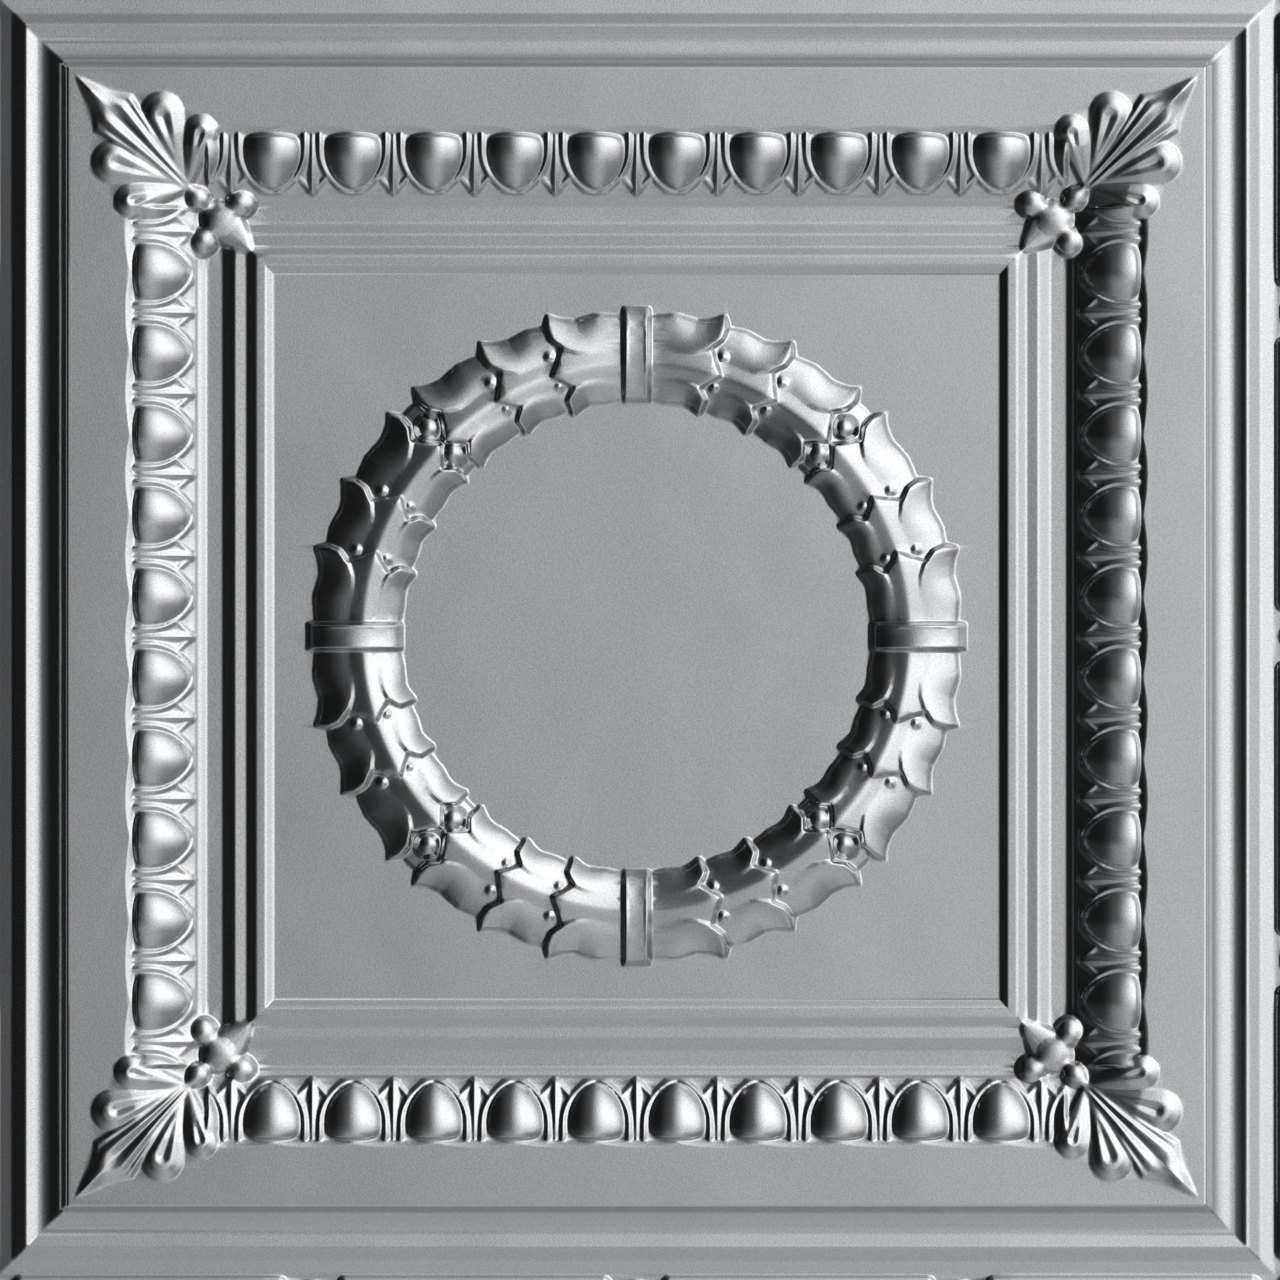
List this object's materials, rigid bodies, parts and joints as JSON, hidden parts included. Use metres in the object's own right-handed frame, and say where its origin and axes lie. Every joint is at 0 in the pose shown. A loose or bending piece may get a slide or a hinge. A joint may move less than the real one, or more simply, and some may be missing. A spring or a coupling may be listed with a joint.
{
  "type": "pressed tin ceiling tile",
  "caption": "Square pressed tin ceiling tile with a flat nailing rim, coved frame, egg-and-dart band, leaf wreath and corner palmettes.",
  "frame": {"origin": "centre of the tile, on the underside of the flat nailing rim", "axes": "+X and +Y towards two neighbouring sides of the square, +Y upwards in the picture; +Z out of the decorated face"},
  "size_m": [0.6224, 0.6224, 0.0156],
  "materials": {
    "tinplate": "satin tin-plated steel"
  },
  "bodies": {
    "root": {"ceiling_tile": "tinplate"}
  },
  "joints": []
}
